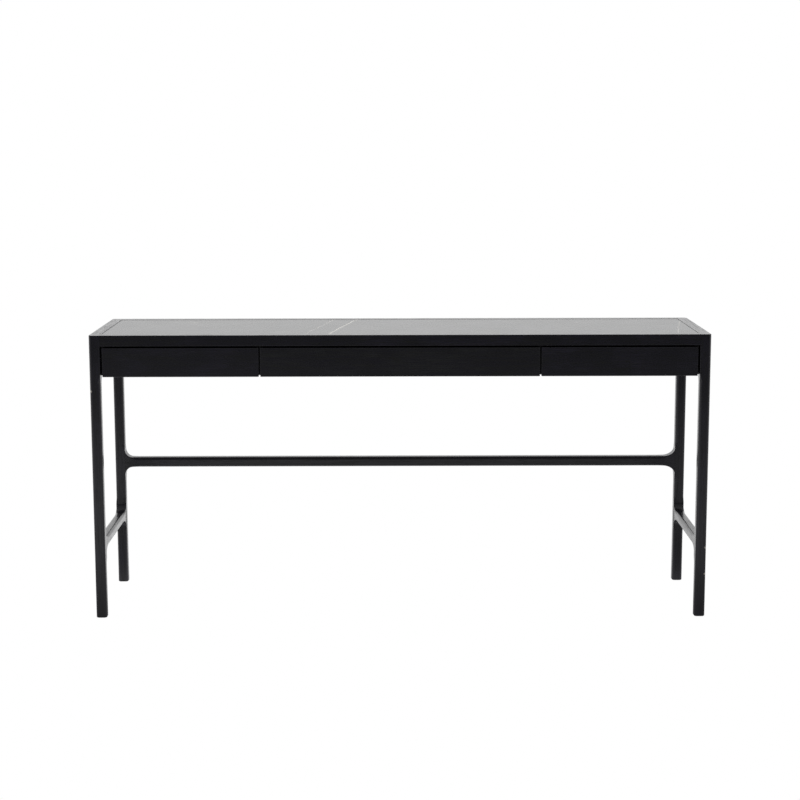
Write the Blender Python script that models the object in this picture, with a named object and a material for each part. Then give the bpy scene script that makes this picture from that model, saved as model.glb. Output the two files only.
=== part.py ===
"""A slim writing desk: a frame of four legs and rails, an inset stone top, three drawers.

Metres, +Z up.  X runs along the desk, -Y is the front, and the floor is at z = 0.
Left and right are as seen from the front.
"""

import math

import bmesh
import bpy

# ---------------------------------------------------------------- driving sizes
DESK_WIDTH = 1.600
DESK_DEPTH = 0.400
DESK_HEIGHT = 0.748

MEMBER = 0.028  # square section shared by the legs, the rails and the rear stretcher
LEG_ROUND = 0.008  # radius on the free edges of legs and stretchers
EASED = 0.002  # radius on a leg's edge beside the drawers
CRISP = 0.0004  # radius where a neighbour lies flush
ROUND_STEPS = 4  # facets in each rounded edge
RUNOUT = 0.020  # length over which a rounded edge runs out

STONE_THICKNESS = 0.012
STONE_JOINT = 0.0015  # open joint round the slab
STONE_DROP = 0.0004  # the slab lies this much under the frame's top
PANEL_THICKNESS = 0.009
LEDGE_WIDTH = 0.010  # rebate in the rails that carries the sub-top
LEDGE_THICKNESS = 0.006

TENON_THICKNESS = 0.008
TENON_SHOULDER = 0.004  # a tenon is this much lower than its member, above and below
MORTISE_WALL = 0.002  # wood left between two mortises that meet in a leg

REAR_STRETCHER_HEIGHT = 0.346  # centre line above the floor
SIDE_STRETCHER_HEIGHT = 0.194
SIDE_BAR = 0.026  # square section of the side stretchers
SIDE_FLARES = (0.026, 0.026)  # lengths of the concave flares at a side stretcher's ends
REAR_FLARES = (0.020, 0.031)  # the same, from left to right
FLARE_RISE = 0.019
FLARE_SWEEP = math.radians(82)
FLARE_STEPS = 6

APRON_SET_IN = 0.004  # aprons lie this much behind the legs' outer faces
APRON_RISE = 0.002  # aprons end this much above the drawer fronts' lower edge
PARTITION_THICKNESS = 0.018
LINER_THICKNESS = 0.012  # boards inside the side aprons, which carry the outer slides

FRONT_HEIGHT = 0.075
FRONT_THICKNESS = 0.018
FRONT_SETBACK = 0.001
FRONT_EASE = 0.0015
REVEAL_TOP = 0.005
REVEAL_SIDE = 0.0055
FRONT_GAP = 0.004
NARROW_FRONT = 0.4025

BOX_HEIGHT = 0.054
BOX_RISE = 0.010  # the lip of the front left free for the fingers
BOX_WALL = 0.012
BOX_BACK_ROOM = 0.012  # free space behind a shut drawer
BOTTOM_THICKNESS = 0.006
BOTTOM_RISE = 0.006
GROOVE_DEPTH = 0.006

SLIDE_ROOM = 0.0127  # space that one slide takes between wall and drawer
SLIDE_HEIGHT = 0.035
SLIDE_WALL = 0.0012
SLIDE_PLAY = 0.0012  # ball clearance between two members
SLIDE_REACH = 0.0085  # flange length of the outer member
SLIDE_END_ROOM = 0.0015

GLIDE_RADIUS = 0.008
GLIDE_THICKNESS = 0.003
GLIDE_PROUD = 0.0012  # the part of the glide under the foot
GLIDE_EASE = 0.0006
STEM_RADIUS = 0.002
STEM_LENGTH = 0.012
TURN_SIDES = 20
FOOT_ROUND = 0.002

FIT = 0.0003  # clearance between neighbouring pieces

# --------------------------------------------------------------- derived places
HALF_WIDTH = DESK_WIDTH / 2
HALF_DEPTH = DESK_DEPTH / 2
HALF_MEMBER = MEMBER / 2
INNER_X = HALF_WIDTH - MEMBER
INNER_Y = HALF_DEPTH - MEMBER
LEG_X = HALF_WIDTH - HALF_MEMBER
LEG_Y = HALF_DEPTH - HALF_MEMBER

RAIL_HEIGHT = STONE_DROP + STONE_THICKNESS + FIT + PANEL_THICKNESS + FIT + LEDGE_THICKNESS
RAIL_BOTTOM = DESK_HEIGHT - RAIL_HEIGHT
RAIL_CENTRE = DESK_HEIGHT - RAIL_HEIGHT / 2
LEDGE_TOP = RAIL_BOTTOM + LEDGE_THICKNESS
PANEL_BOTTOM = LEDGE_TOP + FIT
STONE_TOP = DESK_HEIGHT - STONE_DROP

TENON_LENGTH = (MEMBER - TENON_THICKNESS) / 2 - MORTISE_WALL
REAR_FLARE_HALF = HALF_MEMBER + FLARE_RISE
SIDE_FLARE_HALF = SIDE_BAR / 2 + FLARE_RISE

FRONT_TOP = RAIL_BOTTOM - REVEAL_TOP
FRONT_BOTTOM = FRONT_TOP - FRONT_HEIGHT
FRONT_FACE = -HALF_DEPTH + FRONT_SETBACK
FRONT_BACK = FRONT_FACE + FRONT_THICKNESS
APRON_BOTTOM = FRONT_BOTTOM + APRON_RISE
APRON_TOP = RAIL_BOTTOM - FIT
PARTITION_X = INNER_X - REVEAL_SIDE - NARROW_FRONT - FRONT_GAP / 2

BOX_BOTTOM = FRONT_BOTTOM + BOX_RISE
BOX_LENGTH = INNER_Y - FRONT_BACK - BOX_BACK_ROOM
SLIDE_LENGTH = INNER_Y - FRONT_BACK - 2 * SLIDE_END_ROOM

# (name, left wall, right wall, front's left end, front's right end)
WALL_OUT = PARTITION_X + PARTITION_THICKNESS / 2
WALL_IN = PARTITION_X - PARTITION_THICKNESS / 2
FRONT_OUT = PARTITION_X + FRONT_GAP / 2
FRONT_IN = PARTITION_X - FRONT_GAP / 2
LINER_FACE = INNER_X - FIT - LINER_THICKNESS
BAYS = (
    ("left", -LINER_FACE, -WALL_OUT, -INNER_X + REVEAL_SIDE, -FRONT_OUT),
    ("middle", -WALL_IN, WALL_IN, -FRONT_IN, FRONT_IN),
    ("right", WALL_OUT, LINER_FACE, FRONT_OUT, INNER_X - REVEAL_SIDE),
)
SIDES = (("left", -1), ("right", 1))
ENDS = (("front", -1), ("back", 1))

# colour, roughness, metallic
FINISHES = {
    "black_oak": ((0.012, 0.012, 0.013), 0.48, 0.0),
    "stone": ((0.045, 0.046, 0.048), 0.30, 0.0),
    "panel": ((0.030, 0.028, 0.026), 0.70, 0.0),
    "drawer_wood": ((0.030, 0.027, 0.025), 0.55, 0.0),
    "zinc_steel": ((0.52, 0.53, 0.54), 0.35, 1.0),
    "glide_plastic": ((0.020, 0.020, 0.020), 0.60, 0.0),
}


# ------------------------------------------------------------------ foundations
def clear_scene():
    """Removes whatever the scene holds."""
    for obj in list(bpy.data.objects):
        bpy.data.objects.remove(obj, do_unlink=True)


def finish(name):
    """The material of one finish, made once."""
    found = bpy.data.materials.get(name)
    if found:
        return found
    colour, roughness, metallic = FINISHES[name]
    material = bpy.data.materials.new(name)
    material.use_nodes = True
    shader = material.node_tree.nodes["Principled BSDF"]
    shader.inputs["Base Color"].default_value = (*colour, 1.0)
    shader.inputs["Roughness"].default_value = roughness
    shader.inputs["Metallic"].default_value = metallic
    material.diffuse_color = (*colour, 1.0)
    return material


def add_empty(name, location, parent=None):
    """A parent for a group of pieces."""
    empty = bpy.data.objects.new(name, None)
    empty.empty_display_size = 0.05
    empty.location = location
    empty.parent = parent
    bpy.context.scene.collection.objects.link(empty)
    return empty


def add_object(name, bm, location=(0, 0, 0), parent=None, material=None):
    """Turns a bmesh into an object with its faces pointing out."""
    bmesh.ops.recalc_face_normals(bm, faces=bm.faces)
    mesh = bpy.data.meshes.new(name)
    bm.to_mesh(mesh)
    bm.free()
    obj = bpy.data.objects.new(name, mesh)
    obj.location = location
    obj.parent = parent
    if material:
        mesh.materials.append(finish(material))
    bpy.context.scene.collection.objects.link(obj)
    return obj


def box_into(bm, low, high):
    """Adds the box between two corners to a bmesh."""
    made = bmesh.ops.create_cube(bm, size=1.0)["verts"]
    for vert in made:
        for axis in range(3):
            middle = (low[axis] + high[axis]) / 2
            vert.co[axis] = middle + vert.co[axis] * (high[axis] - low[axis])


def add_box(name, low, high, parent, material):
    """A box given by its corners, with its origin at its centre."""
    centre = [(a + b) / 2 for a, b in zip(low, high)]
    half = [(b - a) / 2 for a, b in zip(low, high)]
    bm = bmesh.new()
    box_into(bm, [-h for h in half], half)
    return add_object(name, bm, centre, parent, material)


def prism(outline, length):
    """A bmesh of an XZ outline extruded along Y, centred on Y."""
    bm = bmesh.new()
    face = bm.faces.new([bm.verts.new((x, -length / 2, z)) for x, z in outline])
    moved = bmesh.ops.extrude_face_region(bm, geom=[face])["geom"]
    for vert in (item for item in moved if isinstance(item, bmesh.types.BMVert)):
        vert.co.y += length
    return bm


def loft(rings):
    """A closed bmesh through rings that have the same number of points."""
    bm = bmesh.new()
    rows = [[bm.verts.new(point) for point in ring] for ring in rings]
    count = len(rows[0])
    for lower, upper in zip(rows, rows[1:]):
        for i in range(count):
            j = (i + 1) % count
            bm.faces.new((lower[i], lower[j], upper[j], upper[i]))
    bm.faces.new(list(reversed(rows[0])))
    bm.faces.new(rows[-1])
    return bm


def rounded_outline(half_a, half_b, radii):
    """A rectangle's outline; radii are for its (+,+), (-,+), (-,-) and (+,-) corners."""
    points = []
    for quarter, ((sign_a, sign_b), radius) in enumerate(zip(CORNERS, radii)):
        for step in range(ROUND_STEPS + 1):
            angle = math.radians(90) * (quarter + step / ROUND_STEPS)
            a = sign_a * (half_a - radius) + radius * math.cos(angle)
            b = sign_b * (half_b - radius) + radius * math.sin(angle)
            points.append((a, b))
    return points


CORNERS = ((1, 1), (-1, 1), (-1, -1), (1, -1))


def helper(obj):
    """Marks an object as a cutter or an addition that isn't a piece itself."""
    obj.hide_render = True
    obj.display_type = "WIRE"
    return obj


def combine(obj, other, operation):
    """Unites an object with a helper, or cuts it away."""
    helper(other)
    modifier = obj.modifiers.new(f"{operation.lower()} {other.name}", "BOOLEAN")
    modifier.operation = operation
    modifier.solver = "EXACT"
    modifier.object = other


def ease(obj, width, segments=2):
    """Softens an object's edges."""
    modifier = obj.modifiers.new("eased edges", "BEVEL")
    modifier.width = width
    modifier.segments = segments
    modifier.limit_method = "ANGLE"


def shade_round(obj):
    """Shades rounded faces smooth and keeps real edges sharp."""
    obj.data.shade_smooth()
    obj.data.set_sharp_from_angle(angle=math.radians(35))


# ------------------------------------------------------------- tenons, mortises
def tenon_boxes(axis, centre, height, reach):
    """The tenons at both ends of a member that runs along an axis (0 = X, 1 = Y).

    reach is half the member's length; each box starts inside the member.
    """
    half_height = height / 2 - TENON_SHOULDER
    for sign in (-1, 1):
        ends = sorted((sign * (reach - TENON_SHOULDER), sign * (reach + TENON_LENGTH)))
        low = [centre[0] - TENON_THICKNESS / 2, centre[1] - TENON_THICKNESS / 2]
        high = [centre[0] + TENON_THICKNESS / 2, centre[1] + TENON_THICKNESS / 2]
        low[axis], high[axis] = ends
        yield (*low, centre[2] - half_height), (*high, centre[2] + half_height)


def grown(box, by):
    """The box with a clearance on every side."""
    low, high = box
    return [value - by for value in low], [value + by for value in high]


def members():
    """Every member that is tenoned into the legs: (axis, centre, height of its end)."""
    tops = RAIL_CENTRE
    apron_height = APRON_TOP - APRON_BOTTOM
    apron_z = (APRON_TOP + APRON_BOTTOM) / 2
    yield "top_rail_front", 0, (0, -LEG_Y, tops), RAIL_HEIGHT
    yield "top_rail_back", 0, (0, LEG_Y, tops), RAIL_HEIGHT
    yield "back_apron", 0, (0, LEG_Y, apron_z), apron_height
    yield "rear_stretcher", 0, (0, LEG_Y, REAR_STRETCHER_HEIGHT), 2 * REAR_FLARE_HALF
    for side, sign in SIDES:
        yield f"top_rail_{side}", 1, (sign * LEG_X, 0, tops), RAIL_HEIGHT
        yield f"side_apron_{side}", 1, (sign * LEG_X, 0, apron_z), apron_height
        low_bar = (sign * LEG_X, 0, SIDE_STRETCHER_HEIGHT)
        yield f"side_stretcher_{side}", 1, low_bar, 2 * SIDE_FLARE_HALF


def member_reach(axis):
    """Half the length of a member between two legs."""
    return (INNER_X, INNER_Y)[axis] - FIT


def add_tenons(obj, name):
    """Unites a member with its two tenons."""
    axis, centre, height = next(row[1:] for row in members() if row[0] == name)
    bm = bmesh.new()
    for low, high in tenon_boxes(axis, centre, height, member_reach(axis)):
        box_into(bm, low, high)
    combine(obj, add_object(f"{name} tenons", bm), "UNION")


# ------------------------------------------------------------------------- legs
def leg_zones(side, end):
    """Where a leg's edges run out, as (low, high, radius, corners)."""
    inner_x = {(-side, -1), (-side, 1)}
    inner_y = {(-1, -end), (1, -end)}
    side_bar = (SIDE_STRETCHER_HEIGHT - SIDE_FLARE_HALF, SIDE_STRETCHER_HEIGHT + SIDE_FLARE_HALF)
    rear_bar = (REAR_STRETCHER_HEIGHT - REAR_FLARE_HALF, REAR_STRETCHER_HEIGHT + REAR_FLARE_HALF)
    yield RAIL_BOTTOM, DESK_HEIGHT, CRISP, inner_x | inner_y
    yield APRON_BOTTOM, RAIL_BOTTOM, CRISP, {(-side, -end)}
    yield APRON_BOTTOM, RAIL_BOTTOM, EASED, {(-side, end)}
    yield *side_bar, CRISP, inner_y
    if end > 0:
        yield *rear_bar, CRISP, inner_x


def edge_radius(z, corner, zones):
    """The radius on one of a leg's four edges at height z."""
    radius = LEG_ROUND
    for low, high, held, corners in zones:
        if corner in corners:
            away = max(low - z, z - high, 0.0)
            radius = min(radius, held + (LEG_ROUND - held) * min(away / RUNOUT, 1.0))
    return radius


def leg_mesh(side, end):
    """A leg about its own centre line, standing on its rounded foot."""
    zones = list(leg_zones(side, end))
    heights = {DESK_HEIGHT, GLIDE_PROUD + FOOT_ROUND}
    for low, high, _, _ in zones:
        heights |= {low - RUNOUT, low, high, high + RUNOUT}
    body = sorted(z for z in heights if GLIDE_PROUD + FOOT_ROUND <= z <= DESK_HEIGHT)
    rings = []
    for step in range(2):
        angle = math.radians(45) * step
        inset = FOOT_ROUND * (1 - math.sin(angle))
        z = GLIDE_PROUD + FOOT_ROUND * (1 - math.cos(angle))
        half = HALF_MEMBER - inset
        outline = rounded_outline(half, half, [LEG_ROUND - inset] * 4)
        rings.append([(x, y, z) for x, y in outline])
    for z in body:
        radii = [edge_radius(z, corner, zones) for corner in CORNERS]
        outline = rounded_outline(HALF_MEMBER, HALF_MEMBER, radii)
        rings.append([(x, y, z) for x, y in outline])
    return loft(rings)


def leg_cutter(side, end):
    """The mortises in one leg and the hole for its glide, in desk coordinates."""
    bm = bmesh.new()
    for _, axis, centre, height in members():
        across = 1 - axis
        if abs(centre[across] - (side * LEG_X, end * LEG_Y)[across]) > MEMBER:
            continue
        boxes = list(tenon_boxes(axis, centre, height, member_reach(axis)))
        sign = (side, end)[axis]
        low, high = grown(boxes[(sign + 1) // 2], FIT)
        box_into(bm, low, high)
    shoulder = GLIDE_THICKNESS + FIT
    hole = (
        (GLIDE_RADIUS + FIT, -FIT),
        (GLIDE_RADIUS + FIT, shoulder),
        (STEM_RADIUS + FIT, shoulder),
        (STEM_RADIUS + FIT, shoulder + STEM_LENGTH),
    )
    turned_into(bm, hole, (side * LEG_X, end * LEG_Y))
    return bm


def turned_into(bm, profile, centre):
    """Adds a solid turned about a vertical axis; profile is (radius, height) from below."""
    rows = []
    for radius, z in profile:
        row = []
        for i in range(TURN_SIDES):
            angle = math.tau * i / TURN_SIDES
            x = centre[0] + radius * math.cos(angle)
            y = centre[1] + radius * math.sin(angle)
            row.append(bm.verts.new((x, y, z)))
        rows.append(row)
    for lower, upper in zip(rows, rows[1:]):
        for i in range(TURN_SIDES):
            j = (i + 1) % TURN_SIDES
            bm.faces.new((lower[i], lower[j], upper[j], upper[i]))
    bm.faces.new(list(reversed(rows[0])))
    bm.faces.new(rows[-1])


def add_leg(side_name, side, end_name, end, parent):
    """One leg with its mortises, and the glide under it."""
    name = f"leg_{end_name}_{side_name}"
    place = (side * LEG_X, end * LEG_Y, 0)
    leg = add_object(name, leg_mesh(side, end), place, parent, "black_oak")
    cutter = add_object(f"{name} mortises", leg_cutter(side, end))
    combine(leg, cutter, "DIFFERENCE")
    shade_round(leg)
    bm = bmesh.new()
    profile = (
        (GLIDE_RADIUS - GLIDE_EASE, 0),
        (GLIDE_RADIUS, GLIDE_EASE),
        (GLIDE_RADIUS, GLIDE_THICKNESS),
        (STEM_RADIUS, GLIDE_THICKNESS),
        (STEM_RADIUS, GLIDE_THICKNESS + STEM_LENGTH),
    )
    turned_into(bm, profile, (0, 0))
    glide = add_object(f"foot_glide_{end_name}_{side_name}", bm, place, parent, "glide_plastic")
    shade_round(glide)


# -------------------------------------------------------------------- top frame
def add_long_rail(end_name, end, parent):
    """The front or back rail: a bar with a ledge along its inner side, and tenons."""
    name = f"top_rail_{end_name}"
    reach = member_reach(0)
    bm = bmesh.new()
    box_into(bm, (-reach, -HALF_MEMBER, -RAIL_HEIGHT / 2), (reach, HALF_MEMBER, RAIL_HEIGHT / 2))
    rail = add_object(name, bm, (0, end * LEG_Y, RAIL_CENTRE), parent, "black_oak")
    edges = sorted((end * LEG_Y, end * (INNER_Y - LEDGE_WIDTH)))
    bm = bmesh.new()
    box_into(bm, (-reach, edges[0], RAIL_BOTTOM), (reach, edges[1], LEDGE_TOP))
    combine(rail, add_object(f"{name} ledge", bm), "UNION")
    add_tenons(rail, name)


def add_short_rail(side_name, side, parent):
    """A side rail: as the long ones, with its ledge between their ledges."""
    name = f"top_rail_{side_name}"
    reach = member_reach(1)
    bm = bmesh.new()
    box_into(bm, (-HALF_MEMBER, -reach, -RAIL_HEIGHT / 2), (HALF_MEMBER, reach, RAIL_HEIGHT / 2))
    rail = add_object(name, bm, (side * LEG_X, 0, RAIL_CENTRE), parent, "black_oak")
    edges = sorted((side * LEG_X, side * (INNER_X - LEDGE_WIDTH)))
    ledge_reach = INNER_Y - LEDGE_WIDTH - FIT
    bm = bmesh.new()
    box_into(bm, (edges[0], -ledge_reach, RAIL_BOTTOM), (edges[1], ledge_reach, LEDGE_TOP))
    combine(rail, add_object(f"{name} ledge", bm), "UNION")
    add_tenons(rail, name)


def add_top(parent):
    """The sub-top on the ledges, and the stone slab on it."""
    half = (INNER_X - FIT, INNER_Y - FIT)
    low = (-half[0], -half[1], PANEL_BOTTOM)
    high = (half[0], half[1], PANEL_BOTTOM + PANEL_THICKNESS)
    add_box("sub_top_panel", low, high, parent, "panel")
    half = (INNER_X - STONE_JOINT, INNER_Y - STONE_JOINT)
    low = (-half[0], -half[1], STONE_TOP - STONE_THICKNESS)
    slab = add_box("stone_top", low, (half[0], half[1], STONE_TOP), parent, "stone")
    ease(slab, CRISP, 1)


# ------------------------------------------------------------------- stretchers
def flare_rings(reach, half, length):
    """Sections of one end, from the leg inwards: (distance from the middle, half height, radius)."""
    rings = []
    for step in range(FLARE_STEPS + 1):
        angle = FLARE_SWEEP * (1 - step / FLARE_STEPS)
        along = length * (1 - math.sin(angle) / math.sin(FLARE_SWEEP))
        rise = FLARE_RISE * (1 - math.cos(angle)) / (1 - math.cos(FLARE_SWEEP))
        share = along / (length + RUNOUT)
        rings.append((reach - along, half + rise, CRISP + (LEG_ROUND - CRISP) * share))
    rings.append((reach - length - RUNOUT, half, LEG_ROUND))
    return rings


def stretcher_rings(reach, half, flares):
    """Sections from one end to the other: (place along, half height, edge radius)."""
    low = [(-place, tall, radius) for place, tall, radius in flare_rings(reach, half, flares[0])]
    return low + flare_rings(reach, half, flares[1])[::-1]


def add_stretcher(name, axis, centre, half, flares, parent):
    """A rounded bar between two legs, flared where it meets them, with tenons."""
    rings = []
    for along, half_height, radius in stretcher_rings(member_reach(axis), half, flares):
        outline = rounded_outline(half, half_height, [radius] * 4)
        ring = [(along, across, z) if axis == 0 else (across, along, z) for across, z in outline]
        rings.append(ring)
    bar = add_object(name, loft(rings), centre, parent, "black_oak")
    shade_round(bar)
    add_tenons(bar, name)


# ----------------------------------------------------------- aprons, partitions
def add_aprons(parent):
    """The two side aprons and the back apron, flush with the legs' inner faces."""
    for side, sign in SIDES:
        name = f"side_apron_{side}"
        reach = member_reach(1)
        xs = sorted((sign * INNER_X, sign * (HALF_WIDTH - APRON_SET_IN)))
        low, high = (xs[0], -reach, APRON_BOTTOM), (xs[1], reach, APRON_TOP)
        add_tenons(add_box(name, low, high, parent, "black_oak"), name)
    reach = member_reach(0)
    low = (-reach, INNER_Y, APRON_BOTTOM)
    high = (reach, HALF_DEPTH - APRON_SET_IN, APRON_TOP)
    add_tenons(add_box("back_apron", low, high, parent, "black_oak"), "back_apron")


def add_liner(side_name, side, parent):
    """The board between a side apron and its drawer, from behind the front to the back apron."""
    xs = sorted((side * LINER_FACE, side * (LINER_FACE + LINER_THICKNESS)))
    low = (xs[0], FRONT_BACK + SLIDE_END_ROOM, APRON_BOTTOM)
    high = (xs[1], INNER_Y - FIT, APRON_TOP)
    add_box(f"liner_{side_name}", low, high, parent, "black_oak")


def add_partition(side_name, side, parent):
    """A wall between two drawers, notched round the ledges, up to the sub-top."""
    back = INNER_Y - FIT
    front = FRONT_BACK + SLIDE_END_ROOM
    ledge = INNER_Y - LEDGE_WIDTH - FIT
    top = PANEL_BOTTOM - FIT
    notch = APRON_TOP
    half = PARTITION_THICKNESS / 2
    bm = bmesh.new()
    side_view = (
        (front, APRON_BOTTOM),
        (back, APRON_BOTTOM),
        (back, notch),
        (ledge, notch),
        (ledge, top),
        (-ledge, top),
        (-ledge, notch),
        (front, notch),
    )
    face = bm.faces.new([bm.verts.new((-half, y, z)) for y, z in side_view])
    moved = bmesh.ops.extrude_face_region(bm, geom=[face])["geom"]
    for vert in (item for item in moved if isinstance(item, bmesh.types.BMVert)):
        vert.co.x += PARTITION_THICKNESS
    place = (side * PARTITION_X, 0, 0)
    add_object(f"partition_{side_name}", bm, place, parent, "black_oak")


# ---------------------------------------------------------------------- drawers
def add_drawer(name, walls, front_ends, desk):
    """A drawer's five pieces, all carried by one empty on its line of travel."""
    origin = ((walls[0] + walls[1]) / 2, FRONT_BACK, BOX_BOTTOM)
    carrier = add_empty(f"{name} travel", origin, desk)
    half = (walls[1] - walls[0]) / 2 - SLIDE_ROOM
    inner = half - BOX_WALL
    panel_low = BOTTOM_RISE
    panel_high = BOTTOM_RISE + BOTTOM_THICKNESS

    low = (front_ends[0] - origin[0], -FRONT_THICKNESS, FRONT_BOTTOM - BOX_BOTTOM)
    high = (front_ends[1] - origin[0], 0, FRONT_TOP - BOX_BOTTOM)
    front = add_box(f"{name}_front", low, high, carrier, "black_oak")
    ease(front, FRONT_EASE)
    bm = bmesh.new()
    groove = inner + GROOVE_DEPTH
    box_into(bm, (-groove, -GROOVE_DEPTH, panel_low - FIT), (groove, BOX_WALL, panel_high + FIT))
    cutter = add_object(f"{name} front groove", bm, origin)
    combine(front, cutter, "DIFFERENCE")

    for side_name, side in SIDES:
        outline = (
            (half, 0),
            (half, BOX_HEIGHT),
            (inner, BOX_HEIGHT),
            (inner, panel_high + FIT),
            (groove, panel_high + FIT),
            (groove, panel_low - FIT),
            (inner, panel_low - FIT),
            (inner, 0),
        )
        bm = prism([(side * x, z) for x, z in outline], BOX_LENGTH - FIT)
        place = (0, FIT + (BOX_LENGTH - FIT) / 2, 0)
        add_object(f"{name}_side_{side_name}", bm, place, carrier, "drawer_wood")

    low = (-inner + FIT, BOX_LENGTH - BOX_WALL, panel_high + FIT)
    high = (inner - FIT, BOX_LENGTH, BOX_HEIGHT)
    add_box(f"{name}_back", low, high, carrier, "drawer_wood")
    low = (-groove + FIT, -GROOVE_DEPTH + FIT, panel_low)
    high = (groove - FIT, BOX_LENGTH, panel_high)
    add_box(f"{name}_bottom", low, high, carrier, "drawer_wood")


def channel(near, far, half_height, web_at_near):
    """The outline of a C section between two distances from the wall."""
    wall = SLIDE_WALL
    web, lip = (near, far) if web_at_near else (far, near)
    into = math.copysign(wall, lip - web)
    return (
        (web, -half_height),
        (lip, -half_height),
        (lip, -half_height + wall),
        (web + into, -half_height + wall),
        (web + into, half_height - wall),
        (lip, half_height - wall),
        (lip, half_height),
        (web, half_height),
    )


def add_slides(name, walls, desk):
    """Two telescopic slides beside a drawer, each of three nested members."""
    step = SLIDE_WALL + SLIDE_PLAY
    tall = SLIDE_HEIGHT / 2
    play = SLIDE_PLAY / 2
    sections = (
        ("cabinet", channel(FIT, FIT + SLIDE_REACH, tall, True)),
        ("middle", channel(FIT + SLIDE_WALL + play, FIT + SLIDE_REACH + play, tall - step, True)),
        (
            "drawer",
            channel(FIT + 2 * SLIDE_WALL + 2 * play, SLIDE_ROOM - FIT, tall - 2 * step, False),
        ),
    )
    middle_y = FRONT_BACK + SLIDE_END_ROOM + SLIDE_LENGTH / 2
    height = BOX_BOTTOM + BOX_HEIGHT / 2
    for (side_name, side), wall_x in zip(SIDES, walls):
        for member, section in sections:
            bm = prism([(-side * x, z) for x, z in section], SLIDE_LENGTH)
            place = (wall_x, middle_y, height)
            add_object(f"{name}_slide_{side_name}_{member}", bm, place, desk, "zinc_steel")


def main():
    clear_scene()
    desk = add_empty("desk", (0, 0, 0))
    for end_name, end in ENDS:
        for side_name, side in SIDES:
            add_leg(side_name, side, end_name, end, desk)
        add_long_rail(end_name, end, desk)
    for side_name, side in SIDES:
        add_short_rail(side_name, side, desk)
        add_partition(side_name, side, desk)
        add_liner(side_name, side, desk)
        place = (side * LEG_X, 0, SIDE_STRETCHER_HEIGHT)
        add_stretcher(f"side_stretcher_{side_name}", 1, place, SIDE_BAR / 2, SIDE_FLARES, desk)
    place = (0, LEG_Y, REAR_STRETCHER_HEIGHT)
    add_stretcher("rear_stretcher", 0, place, HALF_MEMBER, REAR_FLARES, desk)
    add_aprons(desk)
    add_top(desk)
    for name, left, right, front_left, front_right in BAYS:
        add_drawer(f"drawer_{name}", (left, right), (front_left, front_right), desk)
        add_slides(f"drawer_{name}", (left, right), desk)


main()
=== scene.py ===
"""A slim black writing desk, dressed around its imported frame.

Stained oak frame and drawers, a honed stone slab let into the top, steel slides.
Metres, +Z up.  X runs along the desk, -Y is the front, and the floor is at z = 0.
Left and right are as seen from the front.
"""

import sys

import logging
import math
from collections.abc import Sequence
from dataclasses import dataclass, field
from enum import Enum

import bmesh
import bpy
from mathutils import Matrix, Vector


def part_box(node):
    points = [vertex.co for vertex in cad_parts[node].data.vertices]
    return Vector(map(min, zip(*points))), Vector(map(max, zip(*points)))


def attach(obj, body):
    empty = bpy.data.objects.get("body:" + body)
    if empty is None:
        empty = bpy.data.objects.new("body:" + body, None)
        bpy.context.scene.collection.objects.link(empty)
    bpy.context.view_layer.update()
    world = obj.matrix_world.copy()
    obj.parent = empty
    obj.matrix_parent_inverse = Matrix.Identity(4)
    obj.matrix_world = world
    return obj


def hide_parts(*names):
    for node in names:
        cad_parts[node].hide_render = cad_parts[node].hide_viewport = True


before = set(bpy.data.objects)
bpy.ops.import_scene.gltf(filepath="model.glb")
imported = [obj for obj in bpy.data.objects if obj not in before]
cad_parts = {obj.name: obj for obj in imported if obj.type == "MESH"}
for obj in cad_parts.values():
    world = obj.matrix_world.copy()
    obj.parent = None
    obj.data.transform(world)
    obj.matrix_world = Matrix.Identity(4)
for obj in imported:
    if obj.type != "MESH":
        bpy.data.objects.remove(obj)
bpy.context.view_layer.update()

LOG = logging.getLogger("desk")
MM = 0.001
CREASE = math.radians(50)  # faces that meet at more than this stay sharp
EDGE_RUB_AND_HIGHLIGHT = "edge_rub"  # mesh attribute: 1 on the crest of a rounded edge, 0 on a flat; the oak is painted paler there, as rubbed wear and a painted highlight

Spot = tuple[float, float, float]  # a place in the desk's coordinates
Corner = tuple[float, float, float]  # two coordinates of a section, and its share of rubbed wear and painted highlight
Ring = list[tuple[float, float, float, float]]  # places with their share of rubbed wear and painted highlight
Tree = bpy.types.NodeTree
Node = bpy.types.Node
Inputs = Sequence | dict
SMOOTH = {"interpolation_type": "SMOOTHSTEP"}  # a range that eases in and out


class Axis(Enum):
    """A direction that a member, and so its grain, runs in."""

    X = 0
    Y = 1
    Z = 2


class Side(Enum):
    """The desk's left or right, with the sign of its x."""

    LEFT = -1
    RIGHT = 1

    def __str__(self) -> str:
        """Its word in the names of nodes."""
        return self.name.lower()


class End(Enum):
    """The desk's front or back, with the sign of its y."""

    FRONT = -1
    BACK = 1

    def __str__(self) -> str:
        """Its word in the names of nodes."""
        return self.name.lower()


# ---------------------------------------------------------------- colour and nodes
def linear(colour: str) -> tuple[float, float, float, float]:
    """Turns an sRGB hex colour to linear light.

    Args:
        colour: The colour as "#rrggbb".

    Returns:
        Linear red, green and blue, and an alpha of one.
    """
    shares = [int(colour[i : i + 2], 16) / 255 for i in (1, 3, 5)]
    light = [s / 12.92 if s <= 0.04045 else ((s + 0.055) / 1.055) ** 2.4 for s in shares]
    return (light[0], light[1], light[2], 1.0)


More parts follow.
